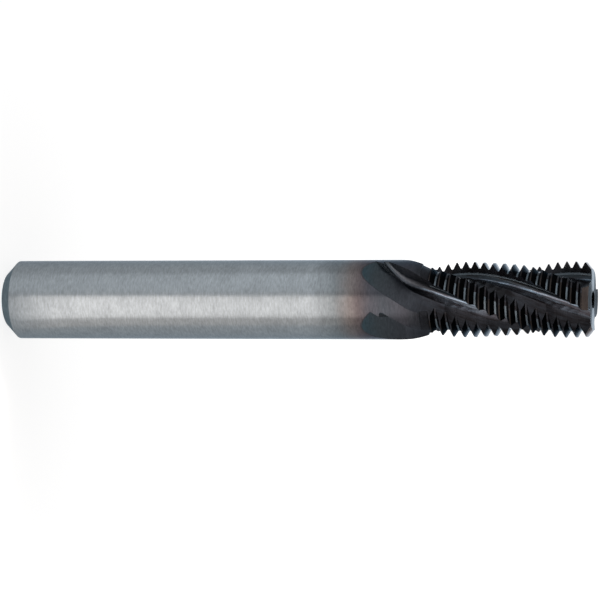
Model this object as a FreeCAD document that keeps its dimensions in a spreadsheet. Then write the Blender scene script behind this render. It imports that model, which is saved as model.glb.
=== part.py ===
"""Solid carbide thread mill: plain cylindrical shank, four right-hand helical flutes and
sixteen relief-ground annular rings of 60 degree teeth, with coolant through the axis.

Millimetres and degrees. The tool stands on the flat end of its shank at z = 0, its axis
is +Z and its cutting end is at the top.
"""
import FreeCAD
import Part
import Sketcher
import math
import os

doc = FreeCAD.newDocument("ThreadMill")


# Driving dimensions

sizes = doc.addObject("Spreadsheet::Sheet", "Sizes")

DRIVING_SIZES = (
    # Shank and shoulder
    ("overall_length", 76.0),
    ("shank_diameter", 10.0),
    ("butt_chamfer", 1.45),
    ("shoulder_radius", 8.8),
    ("shoulder_length", 2.1),
    ("neck_length", 1.2),
    ("neck_angle", 21.0),
    # Coolant bore
    ("coolant_diameter", 2.15),
    # Thread rings
    ("pitch", 1.27),
    ("ring_count", 16),
    ("crest_diameter", 9.4),
    ("thread_depth", 0.78),
    ("thread_angle", 60.0),
    ("crest_flat", 0.16),
    ("tip_length", 0.75),
    ("relief_angle", 5.2),
    # Flutes
    ("flute_count", 4),
    ("helix_angle", 30.0),
    ("edge_angle_at_tip", -69.7),
    ("rake_angle", 5.0),
    ("core_diameter", 5.2),
    ("gullet_radius", 0.7),
    ("flute_reach", 2.9),
    ("flute_runout_radius", 4.5),
    # Flats ground behind the lands
    ("heel_flat_distance", 2.9),
    ("heel_flat_angle", 6.0),
    ("heel_ridge_angle", 28.0),
    ("heel_wall_angle", 8.0),
    ("heel_flat_reach", 5.5),
    ("heel_tip_angle", 45.0),
    ("heel_runout_length", 5.1),
    # How far each cutter goes past the surface that it leaves
    ("cutter_clearance", 0.5),
)

for row, (alias, value) in enumerate(DRIVING_SIZES, start=1):
    sizes.set(f"A{row}", alias)
    sizes.set(f"B{row}", str(value))
    sizes.setAlias(f"B{row}", alias)
doc.recompute()


def size(alias):
    """Value of a driving dimension."""
    return float(sizes.get(alias))


# Sizes that follow from the driving dimensions

shank_radius = size("shank_diameter") / 2
crest_radius = size("crest_diameter") / 2
root_radius = crest_radius - size("thread_depth")
core_radius = size("core_diameter") / 2
ring_count = round(size("ring_count"))
tip_z = size("overall_length")
last_crest_z = tip_z - size("tip_length")
first_crest_z = last_crest_z - (ring_count - 1) * size("pitch")
shoulder_edge_z = first_crest_z - size("neck_length")
shank_end_z = shoulder_edge_z - size("shoulder_length")
shoulder_edge_radius = shank_radius - size("shoulder_radius") + math.sqrt(
    size("shoulder_radius") ** 2 - size("shoulder_length") ** 2)
helix_cosine = math.cos(math.radians(size("helix_angle")))
flute_lead = math.pi * size("crest_diameter") / math.tan(math.radians(size("helix_angle")))
flute_count = round(size("flute_count"))
flute_step = 360.0 / flute_count


def edge_angle(z):
    """Direction of the first cutting edge at height z, counter-clockwise from +X."""
    return size("edge_angle_at_tip") - (tip_z - z) * 360.0 / flute_lead


def polar(radius, angle, z):
    """Point at a radius and a direction in the plane at height z."""
    turn = math.radians(angle)
    return FreeCAD.Vector(radius * math.cos(turn), radius * math.sin(turn), z)


def turned(x, y, z):
    """Point given in a section's own axes: x runs out through the cutting edge and
    y points across the flute, ahead of the edge."""
    turn = math.radians(edge_angle(z))
    return FreeCAD.Vector(
        x * math.cos(turn) - y * math.sin(turn),
        x * math.sin(turn) + y * math.cos(turn),
        z)


def around_axis(shape):
    """One copy of a shape for each flute."""
    copies = []
    for flute in range(flute_count):
        copy = shape.copy()
        copy.rotate(FreeCAD.Vector(0, 0, 0), FreeCAD.Vector(0, 0, 1), flute * flute_step)
        copies.append(copy)
    return Part.makeCompound(copies)


def add_shape(name, shape):
    """Document object that holds a shape made from the sizes above."""
    feature = doc.addObject("Part::Feature", name)
    feature.Shape = shape
    return feature


# Shank and shoulder: one revolved profile

def make_shank():
    body = doc.addObject("PartDesign::Body", "Shank")
    plane = next(f for f in body.Origin.OriginFeatures if f.Role == "XZ_Plane")
    sketch = body.newObject("Sketcher::SketchObject", "ShankProfile")
    sketch.AttachmentSupport = [(plane, "")]
    sketch.MapMode = "FlatFace"

    chamfer = size("butt_chamfer")
    radius = size("shoulder_radius")
    corners = [
        FreeCAD.Vector(0, 0, 0),
        FreeCAD.Vector(shank_radius - chamfer, 0, 0),
        FreeCAD.Vector(shank_radius, chamfer, 0),
        FreeCAD.Vector(shank_radius, shank_end_z, 0),
    ]
    for start, end in zip(corners, corners[1:]):
        sketch.addGeometry(Part.LineSegment(start, end))
    butt, bevel, side = 0, 1, 2
    centre = FreeCAD.Vector(shank_radius - radius, shank_end_z, 0)
    sweep = math.asin(size("shoulder_length") / radius)
    circle = Part.Circle(centre, FreeCAD.Vector(0, 0, 1), radius)
    shoulder = sketch.addGeometry(Part.ArcOfCircle(circle, 0, sweep))
    edge = FreeCAD.Vector(shoulder_edge_radius, shoulder_edge_z, 0)
    top = FreeCAD.Vector(0, shoulder_edge_z, 0)
    cap = sketch.addGeometry(Part.LineSegment(edge, top))
    axis = sketch.addGeometry(Part.LineSegment(top, corners[0]))

    start, end, middle = 1, 2, 3
    origin = -1
    for first, second in ((butt, bevel), (bevel, side), (cap, axis)):
        sketch.addConstraint(Sketcher.Constraint("Coincident", first, end, second, start))
    sketch.addConstraint(Sketcher.Constraint("Coincident", axis, end, butt, start))
    sketch.addConstraint(Sketcher.Constraint("Coincident", shoulder, end, cap, start))
    sketch.addConstraint(Sketcher.Constraint("Coincident", butt, start, origin, 1))
    sketch.addConstraint(Sketcher.Constraint("Horizontal", butt))
    sketch.addConstraint(Sketcher.Constraint("Vertical", side))
    sketch.addConstraint(Sketcher.Constraint("Vertical", axis))
    sketch.addConstraint(Sketcher.Constraint("Horizontal", cap))
    sketch.addConstraint(Sketcher.Constraint("Coincident", side, end, shoulder, start))
    # The arc leaves the shank square to its own radius, so its centre is level with that end
    sketch.addConstraint(Sketcher.Constraint("Horizontal", side, end, shoulder, middle))

    driven = (
        ("radius", ("DistanceX", origin, 1, side, start), "Sizes.shank_diameter / 2"),
        ("bevel_rise", ("DistanceY", origin, 1, side, start), "Sizes.butt_chamfer"),
        ("bevel_run", ("DistanceX", bevel, start, bevel, end), "Sizes.butt_chamfer"),
        ("shank_end", ("DistanceY", origin, 1, side, end),
         "Sizes.overall_length - Sizes.tip_length - (Sizes.ring_count - 1) * Sizes.pitch"
         " - Sizes.neck_length - Sizes.shoulder_length"),
        ("shoulder", ("Radius", shoulder), "Sizes.shoulder_radius"),
        ("shoulder_rise", ("DistanceY", side, end, cap, start), "Sizes.shoulder_length"),
    )
    values = (shank_radius, chamfer, chamfer, shank_end_z, radius, size("shoulder_length"))
    for (name, where, expression), value in zip(driven, values):
        index = sketch.addConstraint(Sketcher.Constraint(*where, value))
        sketch.renameConstraint(index, name)
        sketch.setExpression(f"Constraints.{name}", expression)

    turning = body.newObject("PartDesign::Revolution", "ShankTurning")
    turning.Profile = sketch
    turning.ReferenceAxis = (sketch, ["V_Axis"])
    turning.Angle = 360
    body.Tip = turning
    sketch.Visibility = False
    return body


# Flutes: rake face, gullet and rising back face, ground out to the shank

RUNOUT_STEPS = 7


def flute_outline():
    """Points of the flute's outline in a section's own axes."""
    rake = math.radians(size("rake_angle"))
    fillet = size("gullet_radius")
    inward = FreeCAD.Vector(-math.cos(rake), -math.sin(rake), 0)
    across = FreeCAD.Vector(-math.sin(rake), math.cos(rake), 0)
    cutting_point = FreeCAD.Vector(crest_radius, 0, 0)

    # The gullet's centre lies one gullet radius off the rake face and touches the core
    offset_point = cutting_point + across * fillet
    along = -offset_point.dot(inward)
    reach = (core_radius + fillet) ** 2 - offset_point.Length ** 2 + along ** 2
    depth = along - math.sqrt(reach)
    gullet_centre = offset_point + inward * depth
    rake_foot = cutting_point + inward * depth

    ridge_radius = size("heel_flat_distance") / math.cos(
        math.radians(size("heel_ridge_angle") - size("heel_flat_angle")))
    ridge = polar(ridge_radius, size("heel_ridge_angle"), 0)
    to_ridge = ridge - gullet_centre
    ridge_direction = math.atan2(to_ridge.y, to_ridge.x)
    back_direction = ridge_direction + math.acos(fillet / to_ridge.Length)
    foot_direction = math.atan2(-across.y, -across.x) + 2 * math.pi

    def on_gullet(direction):
        return gullet_centre + FreeCAD.Vector(
            fillet * math.cos(direction), fillet * math.sin(direction), 0)

    back_foot = on_gullet(back_direction)
    gullet_floor = on_gullet((back_direction + foot_direction) / 2)
    rise = (ridge - back_foot).normalize()
    clear = shank_radius
    return {
        "rake_outer": cutting_point - inward * clear,
        "rake_foot": rake_foot,
        "gullet_floor": gullet_floor,
        "back_foot": back_foot,
        "back_outer": ridge + rise * clear,
        "gullet_centre": gullet_centre,
    }


def flute_space(levels):
    """Space of one flute through heights, each with the wheel's outward lift."""
    outline = flute_outline()
    wires = []
    for z, lift in levels:
        place = {name: turned(point.x + lift, point.y, z) for name, point in outline.items()}
        wires.append(Part.Wire([
            Part.makeLine(place["rake_outer"], place["rake_foot"]),
            Part.Arc(place["rake_foot"], place["gullet_floor"], place["back_foot"]).toShape(),
            Part.makeLine(place["back_foot"], place["back_outer"]),
            Part.makeLine(place["back_outer"], place["rake_outer"]),
        ]))
    return Part.makeLoft(wires, True, True)


def make_flute_runout():
    """Lower end of a flute, where the wheel lifts clear of the shank."""
    centre = flute_outline()["gullet_centre"]
    fillet = size("gullet_radius")
    exit_lift = math.sqrt((shank_radius + fillet) ** 2 - centre.y ** 2) - centre.x
    clear_lift = exit_lift + size("cutter_clearance")

    def fall(lift):
        """Height lost along the helix while the wheel rises by this lift."""
        return helix_cosine * math.sqrt(2 * size("flute_runout_radius") * lift)

    lift_start_z = shank_end_z - size("flute_reach") + fall(exit_lift)
    levels = [(shoulder_edge_z + size("cutter_clearance"), 0.0), (shoulder_edge_z, 0.0),
              (lift_start_z, 0.0)]
    for step in range(1, RUNOUT_STEPS + 1):
        lift = clear_lift * (step / RUNOUT_STEPS) ** 2
        levels.append((lift_start_z - fall(lift), lift))
    return flute_space(levels)


# Heel flats: a flat behind each land, swung out about its outer edge at the shank

def heel_flat_space(levels):
    """Space outside one heel flat through heights, each with its share of the swing."""
    angle = size("heel_flat_angle")
    outer_edge = angle + math.degrees(math.acos(size("heel_flat_distance") / shank_radius))
    swing = size("heel_tip_angle") - angle
    last_lift = shank_radius * (1 - math.cos(math.radians(outer_edge - size("heel_tip_angle"))))
    clear = shank_radius + size("cutter_clearance")
    wall_angle = size("heel_wall_angle")
    wires = []
    for z, share in levels:
        facing = angle + swing * share
        distance = (shank_radius * math.cos(math.radians(outer_edge - facing))
                    + last_lift * share ** 3)
        normal = polar(1, facing, 0)
        wall_foot = polar(distance / math.cos(math.radians(wall_angle - facing)), wall_angle, 0)
        outer = normal * distance + polar(clear, facing + 90, 0)
        corners = (wall_foot, outer, outer + normal * clear,
                   wall_foot + polar(clear, wall_angle, 0))
        points = [turned(corner.x, corner.y, z) for corner in corners]
        wires.append(Part.makePolygon(points + points[:1]))
    return Part.makeLoft(wires, True, True)


def make_heel_flat_runout():
    """Lower end of a heel flat, which swings out about its outer edge at the shank."""
    runout_length = size("heel_runout_length")
    swing_start_z = shank_end_z - size("heel_flat_reach") + runout_length
    levels = [(shoulder_edge_z + size("cutter_clearance"), 0.0), (shoulder_edge_z, 0.0),
              (swing_start_z, 0.0)]
    for step in range(1, RUNOUT_STEPS + 1):
        fall = (runout_length + size("cutter_clearance")) * step / RUNOUT_STEPS
        levels.append((swing_start_z - fall, fall / runout_length))
    return heel_flat_space(levels)


# Toothed head: relieved slices, each cut by the same flutes

def relieved_section(z, radius):
    """Closed wire with one arc for each land. Each arc passes through the cutting edge,
    falls away behind it by the relief angle and overruns the land at both ends."""
    relief_per_degree = math.radians(crest_radius * math.tan(math.radians(size("relief_angle"))))
    ahead = size("heel_ridge_angle") / 2
    behind = size("heel_ridge_angle") + size("heel_wall_angle") - flute_step
    arcs = []
    for land in range(flute_count):
        cutting = edge_angle(z) + land * flute_step
        arcs.append([polar(radius + relief_per_degree * angle, cutting + angle, z)
                     for angle in (behind, behind / 2, ahead)])
    edges = []
    for this, following in zip(arcs, arcs[1:] + arcs[:1]):
        edges.append(Part.Arc(*this).toShape())
        edges.append(Part.makeLine(this[2], following[0]))
    return Part.Wire(edges)


def make_slice(profile):
    """Slice of the head through heights and cutting-edge radii, with its flutes cut."""
    head_slice = Part.makeLoft([relieved_section(z, radius) for z, radius in profile],
                               True, True)
    ends = [(profile[0][0], 0.0), (profile[-1][0], 0.0)]
    for cutter in (flute_space(ends), heel_flat_space(ends)):
        head_slice = head_slice.cut(around_axis(cutter))
    return head_slice


flank_slope = 1 / math.tan(math.radians(size("thread_angle") / 2))
flank_run = size("thread_depth") / flank_slope
half_crest = size("crest_flat") / 2


def make_first_ring():
    """The first tooth, and the cone from the shoulder up to where its lower flank starts."""
    neck_slope = math.tan(math.radians(size("neck_angle")))
    crest_start = first_crest_z - half_crest
    crest_end = first_crest_z + half_crest
    meeting = (shoulder_edge_radius - crest_radius + neck_slope * shoulder_edge_z
               + flank_slope * crest_start) / (flank_slope + neck_slope)
    return make_slice([
        (shoulder_edge_z, shoulder_edge_radius),
        (meeting, shoulder_edge_radius - neck_slope * (meeting - shoulder_edge_z)),
        (crest_start, crest_radius),
        (crest_end, crest_radius),
        (crest_end + flank_run, root_radius),
    ])


def ring_profile(crest_z):
    """One tooth with the root below it."""
    return [
        (crest_z - size("pitch") + half_crest + flank_run, root_radius),
        (crest_z - half_crest - flank_run, root_radius),
        (crest_z - half_crest, crest_radius),
        (crest_z + half_crest, crest_radius),
        (crest_z + half_crest + flank_run, root_radius),
    ]


def make_last_ring():
    """The last tooth, whose upper flank runs straight to the rim of the end face."""
    return make_slice(ring_profile(last_crest_z)[:-1] + [(tip_z, root_radius)])


# Assembly of the single solid

shank = make_shank()
flute_runouts = add_shape("FluteRunouts", around_axis(make_flute_runout()))
heel_flat_runouts = add_shape("HeelFlatRunouts", around_axis(make_heel_flat_runout()))

fluted = doc.addObject("Part::Cut", "FlutedShank")
fluted.Base = shank
fluted.Tool = flute_runouts

backed_off = doc.addObject("Part::Cut", "BackedOffShank")
backed_off.Base = fluted
backed_off.Tool = heel_flat_runouts

# All rings between the first and the last are one shape, moved up the helix by pitches
rings = [add_shape("FirstRing", make_first_ring())]
ring_shape = make_slice(ring_profile(first_crest_z + size("pitch")))
turn_per_pitch = 360.0 * size("pitch") / flute_lead
for step in range(ring_count - 2):
    ring = add_shape(f"MiddleRing{step + 1}", ring_shape)
    ring.Placement = FreeCAD.Placement(
        FreeCAD.Vector(0, 0, step * size("pitch")),
        FreeCAD.Rotation(FreeCAD.Vector(0, 0, 1), step * turn_per_pitch))
    rings.append(ring)
rings.append(add_shape("LastRing", make_last_ring()))

solid_mill = doc.addObject("Part::MultiFuse", "SolidMill")
solid_mill.Shapes = [backed_off] + rings

bore = doc.addObject("Part::Cylinder", "CoolantBore")
bore.setExpression("Radius", "Sizes.coolant_diameter / 2")
bore.setExpression("Height", "Sizes.overall_length + 2 * Sizes.cutter_clearance")
bore.setExpression("Placement.Base.z", "-Sizes.cutter_clearance")

thread_mill = doc.addObject("Part::Cut", "ThreadMill")
thread_mill.Base = solid_mill
thread_mill.Tool = bore
thread_mill.Label = "thread_mill"

doc.recompute()


# Checks and export

for item in doc.Objects:
    if "Invalid" in item.State or "Error" in item.State:
        raise RuntimeError(f"{item.Name} did not compute: {item.State}")

SUB_PARTS = (thread_mill,)
os.makedirs("parts", exist_ok=True)
for item in SUB_PARTS:
    if item.Shape.isNull() or not item.Shape.isValid() or len(item.Shape.Solids) != 1:
        raise RuntimeError(f"{item.Label} is not one valid solid")
    item.Shape.exportStep(f"parts/{item.Label}.step")
    print(item.Label, "volume", round(item.Shape.Volume, 1), "faces", len(item.Shape.Faces),
          "height", round(item.Shape.optimalBoundingBox().ZLength, 3))
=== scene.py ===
import bpy
import math
from mathutils import Matrix, Vector


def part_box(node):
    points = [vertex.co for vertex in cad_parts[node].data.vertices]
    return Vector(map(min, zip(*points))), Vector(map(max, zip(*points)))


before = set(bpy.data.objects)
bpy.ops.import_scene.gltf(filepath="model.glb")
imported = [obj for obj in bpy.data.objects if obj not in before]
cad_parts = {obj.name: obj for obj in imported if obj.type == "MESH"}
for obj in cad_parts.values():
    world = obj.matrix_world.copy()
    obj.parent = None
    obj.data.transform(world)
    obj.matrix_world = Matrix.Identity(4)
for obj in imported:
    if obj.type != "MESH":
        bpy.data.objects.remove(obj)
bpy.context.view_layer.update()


# Thread mill
# One bar of fine-grain tungsten carbide, with flutes and tooth rings ground from the solid.
# The shank is left as ground, and the cutting end has a thin dark coating whose heat has
# tinted the bare carbide next to it.

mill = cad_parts["thread_mill"]

MILLIMETRE = 0.001
HIGHEST_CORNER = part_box("thread_mill")[1]
LENGTH = HIGHEST_CORNER.z
SHANK_RADIUS = HIGHEST_CORNER.x


def colour(code):
    """Linear RGBA of an sRGB hex colour."""
    channels = [int(code[i:i + 2], 16) / 255 for i in (1, 3, 5)]
    linear = [c / 12.92 if c <= 0.04045 else ((c + 0.055) / 1.055) ** 2.4 for c in channels]
    return (*linear, 1.0)


def empty_tree(owner):
    """Node tree of a material or world, without its default nodes."""
    owner.use_nodes = True
    owner.node_tree.nodes.clear()
    return owner.node_tree


def add_node(tree, kind, settings=None, links=None, stops=()):
    """Adds a node. Settings with a name in lower case are the node's own, and the others
    are values of its input sockets. Links give the output that feeds each input. Stops are
    the positions and linear colours of a colour ramp."""
    node = tree.nodes.new(kind)
    for name, value in (settings or {}).items():
        if isinstance(name, str) and name.islower():
            setattr(node, name, value)
        else:
            node.inputs[name].default_value = value
    for name, output in (links or {}).items():
        tree.links.new(output, node.inputs[name])
    if stops:
        elements = node.color_ramp.elements
        while len(elements) < len(stops):
            elements.new(0.5)
        for element, (position, tone) in zip(elements, stops):
            element.position = position
            element.color = tone
    return node


# Ground carbide, coated at one end: a dark metal whose fine wheel marks run round the bar,
# which draws each highlight out along the axis
carbide = bpy.data.materials.new("ground_and_coated_carbide")
tree = empty_tree(carbide)

place = add_node(tree, "ShaderNodeTexCoord").outputs["Object"]
axes = add_node(tree, "ShaderNodeSeparateXYZ", links={0: place})
height = axes.outputs["Z"]
turn = add_node(tree, "ShaderNodeMath", {"operation": "ARCTAN2"},
                {0: axes.outputs["Y"], 1: axes.outputs["X"]}).outputs[0]
flat = add_node(tree, "ShaderNodeCombineXYZ", links={0: axes.outputs["X"], 1: axes.outputs["Y"]})
reach = add_node(tree, "ShaderNodeVectorMath", {"operation": "LENGTH"},
                 {0: flat.outputs[0]}).outputs["Value"]

# Wheel marks: thin rings, each broken up a little round the bar. Real ones are finer, and
# these are as coarse as they need to be to show
WHEEL_MARKS = 0.18 * MILLIMETRE
WHEEL_MARK_BREAKS = 2 / 3 * MILLIMETRE
rings = add_node(tree, "ShaderNodeVectorMath", {
    "operation": "MULTIPLY",
    1: (1 / WHEEL_MARK_BREAKS, 1 / WHEEL_MARK_BREAKS, 1 / WHEEL_MARKS)}, {0: place})
wheel_marks = add_node(tree, "ShaderNodeTexNoise", {
    "noise_dimensions": "3D", "Scale": 1.0, "Detail": 3.0, "Roughness": 0.6},
    {"Vector": rings.outputs[0]}).outputs["Fac"]

# Blotches: the uneven tone that the wheel and handling leave, a little over 2 mm apart
BLOTCHES = MILLIMETRE / 0.45
blotches = add_node(tree, "ShaderNodeTexNoise", {
    "Scale": 1 / BLOTCHES, "Detail": 4.0, "Roughness": 0.6}, {"Vector": place}).outputs["Fac"]

# Flute marks: streaks that follow the helix, nearly 3 mm long and coarser than real ones,
# so that they show. The lead is that of a 30 degree helix on the tooth crests
FLUTE_LEAD = 51.15 * MILLIMETRE
FLUTE_MARKS = 0.35 * MILLIMETRE
FLUTE_MARK_LENGTH = MILLIMETRE / 0.35
GULLET_REACH = 3 * MILLIMETRE
MARKS_ROUND = GULLET_REACH / FLUTE_MARKS
twist = add_node(tree, "ShaderNodeMath", {
    "operation": "MULTIPLY_ADD", 1: -2 * math.pi / FLUTE_LEAD}, {0: height, 2: turn}).outputs[0]
side = add_node(tree, "ShaderNodeMath", {"operation": "SINE"}, {0: twist}).outputs[0]
front = add_node(tree, "ShaderNodeMath", {"operation": "COSINE"}, {0: twist}).outputs[0]
helix = add_node(tree, "ShaderNodeCombineXYZ", links={0: side, 1: front, 2: height})
spread = add_node(tree, "ShaderNodeVectorMath", {
    "operation": "MULTIPLY", 1: (MARKS_ROUND, MARKS_ROUND, 1 / FLUTE_MARK_LENGTH)},
    {0: helix.outputs[0]})
flute_marks = add_node(tree, "ShaderNodeTexNoise", {
    "Scale": 1.0, "Detail": 4.0, "Roughness": 0.65}, {"Vector": spread.outputs[0]}).outputs["Fac"]

# Colour along the axis, from the bare shank through the heat tint to the coating. The
# tint's edge wanders by about a millimetre
WANDER = 0.6 * MILLIMETRE
wander = add_node(tree, "ShaderNodeMath", {
    "operation": "MULTIPLY_ADD", 1: 2 * WANDER, 2: -WANDER}, {0: blotches})
uneven = add_node(tree, "ShaderNodeMath", {"operation": "ADD"},
                  {0: height, 1: wander.outputs[0]}).outputs[0]
along = add_node(tree, "ShaderNodeMapRange", {"From Min": 0.0, "From Max": LENGTH},
                 {"Value": uneven}).outputs["Result"]
TINTS = (
    (0.0, "#868d92"),
    (41.0, "#82898e"),
    (44.3, "#696f73"),
    (46.2, "#635f5f"),
    (47.4, "#524c4e"),
    (48.8, "#3f4046"),
    (50.5, "#3a3e44"),
    (53.0, "#393a40"),
    (54.5, "#2e2f34"),
)
round_tint = add_node(tree, "ShaderNodeValToRGB", links={"Fac": along}, stops=[
    (start * MILLIMETRE / LENGTH, colour(code)) for start, code in TINTS])

# What is ground below the round of the bar shows a teal tint first, then a paler coating
GROUND_TINTS = (
    (45.0, "#50666e"),
    (47.6, "#3a4c54"),
    (49.4, "#41484d"),
    (52.5, "#474a50"),
    (54.6, "#303237"),
)
ground_tint = add_node(tree, "ShaderNodeValToRGB", links={"Fac": along}, stops=[
    (start * MILLIMETRE / LENGTH, colour(code)) for start, code in GROUND_TINTS])
LOWEST_GROUND = 40 * MILLIMETRE
GROUND_STARTS = SHANK_RADIUS - 0.02 * MILLIMETRE
GROUND_FULL = SHANK_RADIUS - 0.10 * MILLIMETRE
below_round = add_node(tree, "ShaderNodeMapRange", {
    "From Min": GROUND_STARTS, "From Max": GROUND_FULL}, {"Value": reach}).outputs["Result"]
past_shank = add_node(tree, "ShaderNodeMath", {
    "operation": "GREATER_THAN", 1: LOWEST_GROUND}, {0: height}).outputs[0]
is_ground = add_node(tree, "ShaderNodeMath", {"operation": "MULTIPLY"},
                     {0: below_round, 1: past_shank}).outputs[0]
tint = add_node(tree, "ShaderNodeMix", {"data_type": "RGBA"}, {
    "Factor": is_ground, "A": round_tint.outputs["Color"], "B": ground_tint.outputs["Color"]})

# Across each flute a painted highlight runs as a pale streak along the gullet, then a band of
# middle tone paints light into the floor where it lies in shade, and the heel is painted dark
# as painted shade. Positions are shares of the step from one flute to the next
FLUTES = 4
steps_round = add_node(tree, "ShaderNodeMath", {
    "operation": "MULTIPLY", 1: FLUTES / (2 * math.pi)}, {0: twist}).outputs[0]
across = add_node(tree, "ShaderNodeMath", {"operation": "FRACT"}, {0: steps_round}).outputs[0]
# The pale stops at 0.34 to 0.37 are the painted highlight, the middle tones from 0.42 to 0.53
# painted light in the shaded floor, and the dark stops from 0.59 to 0.80 painted shade
FLUTE_PAINTED_LIGHT_TONES = (
    (0.00, "#35373c"),
    (0.22, "#1f2124"),
    (0.28, "#20262a"),
    (0.32, "#2a3036"),
    (0.34, "#76838e"),
    (0.37, "#76838e"),
    (0.39, "#393f45"),
    (0.42, "#4b5157"),
    (0.45, "#5d6268"),
    (0.53, "#585b61"),
    (0.59, "#2f2f32"),
    (0.66, "#232124"),
    (0.80, "#1f1d1f"),
    (0.88, "#24262a"),
    (1.00, "#35373c"),
)
flute_painted_light_tone = add_node(tree, "ShaderNodeValToRGB", links={"Fac": across}, stops=[
    (position, colour(code)) for position, code in FLUTE_PAINTED_LIGHT_TONES])
# Nearer the cutting edge the flute is even and dark
EDGE_STARTS = 3.05 * MILLIMETRE
EDGE_FULL = 3.5 * MILLIMETRE
outward = add_node(tree, "ShaderNodeMapRange", {
    "From Min": EDGE_STARTS, "From Max": EDGE_FULL}, {"Value": reach}).outputs["Result"]
flute = add_node(tree, "ShaderNodeMix", {"data_type": "RGBA", "B": colour("#222225")}, {
    "Factor": outward, "A": flute_painted_light_tone.outputs["Color"]})
# Streaks of brown and blue-grey run along the helix
streaks = add_node(tree, "ShaderNodeValToRGB", links={"Fac": flute_marks}, stops=[
    (0.41, colour("#a08f90")), (0.59, colour("#eef6ff"))])
streaked = add_node(tree, "ShaderNodeMix", {
    "data_type": "RGBA", "blend_type": "MULTIPLY", "Factor": 1.0},
    {"A": flute.outputs["Result"], "B": streaks.outputs["Color"]})
FIRST_TOOTH = 56 * MILLIMETRE
HEAD_STARTS = FIRST_TOOTH - 2 * MILLIMETRE
HEAD_FULL = FIRST_TOOTH + 1 * MILLIMETRE
in_head = add_node(tree, "ShaderNodeMapRange", {
    "From Min": HEAD_STARTS, "From Max": HEAD_FULL}, {"Value": height}).outputs["Result"]
coated = add_node(tree, "ShaderNodeMix", {"data_type": "RGBA"}, {
    "Factor": in_head, "A": tint.outputs["Result"], "B": streaked.outputs["Result"]})

# The tooth crests are brown, and the roots are painted paler as a painted highlight along each
# root
LAND_MIDDLE = 0.06
LAND_HALF_WIDTH = 0.20
CREST_REACH = 4.1 * MILLIMETRE
near_land = add_node(tree, "ShaderNodeMath", {
    "operation": "COMPARE", 1: LAND_MIDDLE, 2: LAND_HALF_WIDTH}, {0: across}).outputs[0]
toothed = add_node(tree, "ShaderNodeMath", {
    "operation": "GREATER_THAN", 1: FIRST_TOOTH}, {0: height}).outputs[0]
on_land = add_node(tree, "ShaderNodeMath", {"operation": "MULTIPLY"},
                   {0: near_land, 1: toothed}).outputs[0]
on_crest = add_node(tree, "ShaderNodeMath", {
    "operation": "GREATER_THAN", 1: CREST_REACH}, {0: reach}).outputs[0]
tooth = add_node(tree, "ShaderNodeMix", {
    "data_type": "RGBA", "A": colour("#545d64"), "B": colour("#262322")}, {"Factor": on_crest})
with_teeth = add_node(tree, "ShaderNodeMix", {"data_type": "RGBA"}, {
    "Factor": on_land, "A": coated.outputs["Result"], "B": tooth.outputs["Result"]})

# The tooth flanks, which face along the axis, are painted near black as painted shade in the tooth
# slots
FLANK_STARTS = 0.55
FLANK_FULL = 0.75
facing = add_node(tree, "ShaderNodeSeparateXYZ", links={
    0: add_node(tree, "ShaderNodeTexCoord").outputs["Normal"]}).outputs["Z"]
slope = add_node(tree, "ShaderNodeMath", {"operation": "ABSOLUTE"}, {0: facing}).outputs[0]
steep = add_node(tree, "ShaderNodeMapRange", {
    "From Min": FLANK_STARTS, "From Max": FLANK_FULL}, {"Value": slope}).outputs["Result"]
painted_flank_shade_mask = add_node(tree, "ShaderNodeMath", {"operation": "MULTIPLY"},
                    {0: steep, 1: toothed}).outputs[0]
with_painted_flank_shade = add_node(tree, "ShaderNodeMix", {"data_type": "RGBA", "B": colour("#101012")}, {
    "Factor": painted_flank_shade_mask, "A": with_teeth.outputs["Result"]})

# The flank past the last crest is brown
LAST_FLANK = 0.8 * MILLIMETRE
past_crest = add_node(tree, "ShaderNodeMath", {
    "operation": "GREATER_THAN", 1: LENGTH - LAST_FLANK}, {0: height}).outputs[0]
on_last_flank = add_node(tree, "ShaderNodeMath", {"operation": "MULTIPLY"},
                         {0: past_crest, 1: steep}).outputs[0]
with_last_flank = add_node(tree, "ShaderNodeMix", {"data_type": "RGBA", "B": colour("#6c625e")}, {
    "Factor": on_last_flank, "A": with_painted_flank_shade.outputs["Result"]})

# The chamfer at the butt is darker than the shank
CHAMFER_TOP = 1.46 * MILLIMETRE
on_chamfer = add_node(tree, "ShaderNodeMath", {
    "operation": "LESS_THAN", 1: CHAMFER_TOP}, {0: height}).outputs[0]
with_chamfer = add_node(tree, "ShaderNodeMix", {"data_type": "RGBA", "B": colour("#5f6b71")}, {
    "Factor": on_chamfer, "A": with_last_flank.outputs["Result"]})

# The end face is plain blue-grey
FACES_UP = 0.97
on_end_face = add_node(tree, "ShaderNodeMath", {
    "operation": "GREATER_THAN", 1: FACES_UP}, {0: facing}).outputs[0]
with_end_face = add_node(tree, "ShaderNodeMix", {"data_type": "RGBA", "B": colour("#454d53")}, {
    "Factor": on_end_face, "A": with_chamfer.outputs["Result"]})

# The inside of the coolant hole is painted black as painted shade
HOLE_REACH = 1.12 * MILLIMETRE
in_hole = add_node(tree, "ShaderNodeMath", {
    "operation": "LESS_THAN", 1: HOLE_REACH}, {0: reach}).outputs[0]
with_painted_hole_shade = add_node(tree, "ShaderNodeMix", {"data_type": "RGBA", "B": colour("#08080a")}, {
    "Factor": in_hole, "A": with_end_face.outputs["Result"]})

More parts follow.
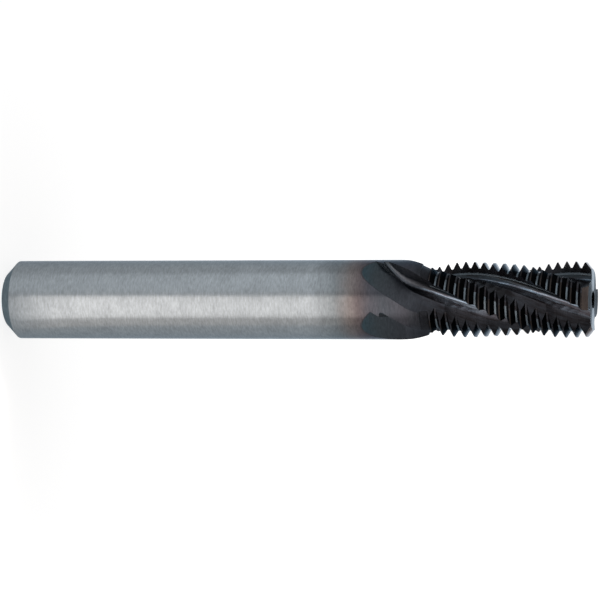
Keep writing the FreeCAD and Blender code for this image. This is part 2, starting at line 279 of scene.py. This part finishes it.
# Grain shows as a slight change of tone, and blotches as a slight change of gloss
NOISE_LOW = 0.3
NOISE_HIGH = 0.7
grain = add_node(tree, "ShaderNodeMapRange", {
    "From Min": NOISE_LOW, "From Max": NOISE_HIGH, "To Min": 0.82, "To Max": 1.18},
    {"Value": wheel_marks}).outputs["Result"]
toned = add_node(tree, "ShaderNodeVectorMath", {"operation": "SCALE"}, {
    0: with_painted_hole_shade.outputs["Result"], "Scale": grain}).outputs[0]
ground_roughness = add_node(tree, "ShaderNodeMapRange", {
    "From Min": NOISE_LOW, "From Max": NOISE_HIGH, "To Min": 0.36, "To Max": 0.44},
    {"Value": blotches}).outputs["Result"]

# In the flutes the coating is smoother, and it looks partly like a dull ceramic. Elsewhere
# it shines as metal
outside_flute = add_node(tree, "ShaderNodeMath", {"operation": "MAXIMUM"},
                         {0: on_land, 1: steep}).outputs[0]
in_flute = add_node(tree, "ShaderNodeMath", {"operation": "SUBTRACT", "use_clamp": True},
                    {0: in_head, 1: outside_flute}).outputs[0]
metallic = add_node(tree, "ShaderNodeMapRange", {"To Min": 1.0, "To Max": 0.72},
                    {"Value": in_flute}).outputs["Result"]
roughness = add_node(tree, "ShaderNodeMath", {"operation": "MULTIPLY_ADD", 1: -0.17},
                     {0: in_flute, 2: ground_roughness}).outputs[0]

MARK_DEPTH = 0.01 * MILLIMETRE
bump = add_node(tree, "ShaderNodeBump", {"Strength": 0.12, "Distance": MARK_DEPTH},
                {"Height": wheel_marks})
tangent = add_node(tree, "ShaderNodeTangent", {"direction_type": "RADIAL", "axis": "Z"})
surface = add_node(tree, "ShaderNodeBsdfPrincipled", {
    "Specular Tint": colour("#bcc4cc"),
    "Anisotropic": 0.9,
    "Anisotropic Rotation": 0.25,
}, {"Base Color": toned, "Roughness": roughness, "Metallic": metallic,
    "Tangent": tangent.outputs["Tangent"], "Normal": bump.outputs["Normal"]})
add_node(tree, "ShaderNodeOutputMaterial", links={"Surface": surface.outputs["BSDF"]})

for slot in mill.material_slots:
    slot.material = carbide


# Studio floor
# A wide sheet of white paper under the tool, white to the camera and in reflections.

FLOOR_SIZE = 6.0
bpy.ops.mesh.primitive_plane_add(size=FLOOR_SIZE)
floor = bpy.context.object
floor.name = "studio_floor"
paper = bpy.data.materials.new("white_paper")
tree = empty_tree(paper)
ray = add_node(tree, "ShaderNodeLightPath")
seen = add_node(tree, "ShaderNodeMath", {"operation": "ADD"},
                {0: ray.outputs["Is Camera Ray"], 1: ray.outputs["Is Glossy Ray"]})
seen = add_node(tree, "ShaderNodeMath", {"operation": "ADD"},
                {0: seen.outputs[0], 1: ray.outputs["Is Transmission Ray"]})
matt = add_node(tree, "ShaderNodeBsdfDiffuse", {"Color": colour("#d0d0d0")})
# Close to the tool the glow is weaker, so that the tool's soft shadow shows on the paper
GLOW_WEAKEST = 0.01
GLOW_FULL = 0.10
away = add_node(tree, "ShaderNodeVectorMath", {"operation": "LENGTH"}, {
    0: add_node(tree, "ShaderNodeTexCoord").outputs["Object"]}).outputs["Value"]
strength = add_node(tree, "ShaderNodeMapRange", {
    "From Min": GLOW_WEAKEST, "From Max": GLOW_FULL, "To Min": 0.82, "To Max": 1.0},
    {"Value": away})
glow = add_node(tree, "ShaderNodeEmission", {"Color": colour("#ffffff")},
                {"Strength": strength.outputs["Result"]})
SHADOW_SHARE = 0.26
shaded = add_node(tree, "ShaderNodeBsdfDiffuse", {
    "Color": (SHADOW_SHARE, SHADOW_SHARE, SHADOW_SHARE, 1.0)})
lit = add_node(tree, "ShaderNodeAddShader", links={0: glow.outputs[0], 1: shaded.outputs[0]})
shown = add_node(tree, "ShaderNodeMixShader", links={
    "Fac": seen.outputs[0], 1: matt.outputs[0], 2: lit.outputs[0]})
add_node(tree, "ShaderNodeOutputMaterial", links={"Surface": shown.outputs[0]})
floor.data.materials.append(paper)


# Studio light
# Soft boxes that stand on the floor round the tool and a low glowing panel in front of it,
# in a room with white walls low down and a dark ceiling.

world = bpy.data.worlds.new("studio_room")
bpy.context.scene.world = world
tree = empty_tree(world)
direction = add_node(tree, "ShaderNodeTexCoord").outputs["Generated"]
upward = add_node(tree, "ShaderNodeSeparateXYZ", links={0: direction}).outputs["Z"]
# Brightness of the room by the sine of the angle above the floor
ROOM = ((0.0, 1.0), (0.12, 1.0), (0.4, 0.4), (0.75, 0.22))
shade = add_node(tree, "ShaderNodeValToRGB", links={"Fac": upward}, stops=[
    (sine, (level, level, level, 1.0)) for sine, level in ROOM])
room = add_node(tree, "ShaderNodeBackground", {"Strength": 1.0}, {"Color": shade.outputs["Color"]})
add_node(tree, "ShaderNodeOutputWorld", links={"Surface": room.outputs[0]})


def outwards(azimuth):
    """Level direction away from the axis. Azimuth 0 is straight in front, -Y, and grows
    towards +X."""
    return Vector((math.sin(azimuth), -math.cos(azimuth), 0))


def soft_box(name, start, end, distance, top, radiance, code="#ffffff"):
    """Upright area lamp that faces the tool's axis and spans the azimuths from start to
    end. It stands just clear of the floor."""
    clear = 1 * MILLIMETRE
    lamp = bpy.data.lights.new(name, "AREA")
    lamp.shape = "RECTANGLE"
    lamp.size = 2 * distance * math.tan(math.radians((end - start) / 2))
    lamp.size_y = top
    lamp.energy = radiance * lamp.size * lamp.size_y * math.pi
    lamp.color = colour(code)[:3]
    box = bpy.data.objects.new(name, lamp)
    out = outwards(math.radians((start + end) / 2))
    spot = out * distance + Vector((0, 0, top / 2 + clear))
    box.matrix_world = Matrix.Translation(spot) @ out.to_track_quat("Z", "Y").to_matrix().to_4x4()
    box.visible_camera = False
    bpy.context.scene.collection.objects.link(box)


def light_panel(name, start, end, radiance):
    """Glowing sheet in front of the tool, where the shank mirrors it. It spans the azimuths
    from start to end and rises a little from the tool outwards."""
    near, far = 12 * MILLIMETRE, 170 * MILLIMETRE
    low, high = 2 * MILLIMETRE, 50 * MILLIMETRE
    steps = 12
    points = []
    for step in range(steps + 1):
        out = outwards(math.radians(start + (end - start) * step / steps))
        points += [out * near + Vector((0, 0, low)), out * far + Vector((0, 0, high))]
    strips = [(2 * i, 2 * i + 1, 2 * i + 3, 2 * i + 2) for i in range(steps)]
    mesh = bpy.data.meshes.new(name)
    mesh.from_pydata(points, [], strips)
    glowing = bpy.data.materials.new(name)
    tree = empty_tree(glowing)
    light = add_node(tree, "ShaderNodeEmission", {
        "Color": colour("#fff4ec"), "Strength": radiance})
    add_node(tree, "ShaderNodeOutputMaterial", links={"Surface": light.outputs[0]})
    mesh.materials.append(glowing)
    panel = bpy.data.objects.new(name, mesh)
    panel.visible_camera = False
    bpy.context.scene.collection.objects.link(panel)


light_panel("front_panel", start=-9, end=50, radiance=3.6)
light_panel("front_panel_side", start=50, end=78, radiance=1.7)
soft_box("front_box", start=-9.5, end=44, distance=0.16, top=0.15, radiance=0.7, code="#fff6f0")
soft_box("side_box", start=-80, end=-20, distance=0.30, top=0.25, radiance=1.3)
soft_box("back_box", start=150, end=215, distance=0.30, top=0.20, radiance=2.0)


# Camera
# It looks down at the tool by about 15 degrees and lies on its side, so the tool's axis
# runs from left to right.

ELEVATION = math.radians(14.89)
TARGET = Vector((0, 0, 0.0387))
DISTANCE = 0.3773
SIDE_STEP = 0.05 * MILLIMETRE
back = Vector((0, -math.cos(ELEVATION), math.sin(ELEVATION)))
right = Vector((0, math.sin(ELEVATION), math.cos(ELEVATION)))
up = Vector((-1, 0, 0))
lens = bpy.data.cameras.new("photo_camera")
lens.lens = 179.4
lens.sensor_width = 36.0
camera = bpy.data.objects.new("photo_camera", lens)
spot = TARGET + back * DISTANCE - up * SIDE_STEP
camera.matrix_world = Matrix((
    (right.x, up.x, back.x, spot.x),
    (right.y, up.y, back.y, spot.y),
    (right.z, up.z, back.z, spot.z),
    (0, 0, 0, 1)))
bpy.context.scene.collection.objects.link(camera)
bpy.context.scene.camera = camera
bpy.context.scene.view_settings.view_transform = "Standard"
